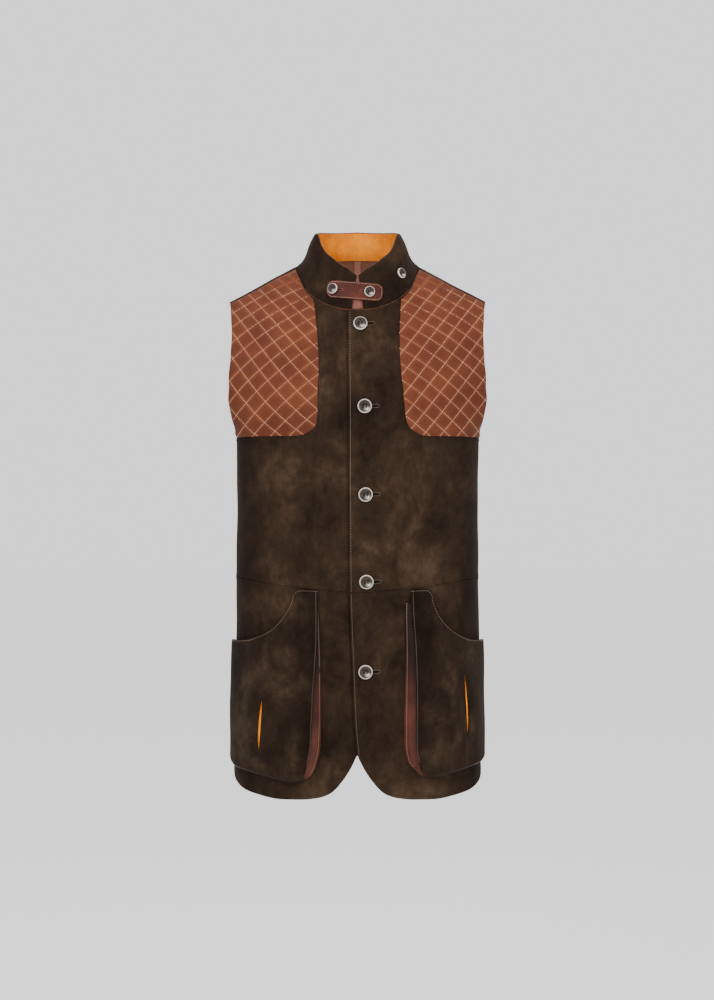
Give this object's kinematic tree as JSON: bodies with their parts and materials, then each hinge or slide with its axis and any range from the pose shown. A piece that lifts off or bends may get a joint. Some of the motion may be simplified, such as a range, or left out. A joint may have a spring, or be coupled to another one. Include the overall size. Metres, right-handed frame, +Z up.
{
  "type": "suede shooting vest",
  "caption": "Sleeveless buttoned suede vest, filled out as worn, with quilted leather shoulder patches, stand collar, throat tab and bellows pockets with a scooped mouth.",
  "frame": {"origin": "middle of the neck, level with the side neck points, where the wearer's shoulders carry the vest", "axes": "+Z up the body, -Y out of the front, +X towards the wearer's left"},
  "size_m": [0.393, 0.2532, 0.863],
  "materials": {
    "suede": "matt napped suede",
    "quilted_leather": "soft satin leather, diamond quilted",
    "orange_suede": "matt napped suede",
    "brown_leather": "satin leather",
    "maroon_leather": "satin leather",
    "horn": "polished horn look"
  },
  "bodies": {
    "root": {"front_upper_left": "suede", "front_upper_right": "suede", "front_lower_left": "suede", "front_lower_right": "suede", "back": "suede", "collar": "suede", "pocket_face_left": "suede", "pocket_face_right": "suede", "shoulder_patch_left": "quilted_leather", "shoulder_patch_right": "quilted_leather", "collar_lining": "orange_suede", "slit_lining_left": "orange_suede", "slit_lining_right": "orange_suede", "neck_facing": "brown_leather", "back_strip": "maroon_leather", "pocket_gusset_left": "maroon_leather", "pocket_gusset_right": "maroon_leather", "throat_tab": "maroon_leather", "throat_underlay": "maroon_leather", "button_1": "horn", "button_2": "horn", "button_3": "horn", "button_4": "horn", "button_5": "horn", "tab_button_left": "horn", "tab_button_right": "horn", "collar_button": "horn"}
  },
  "joints": []
}
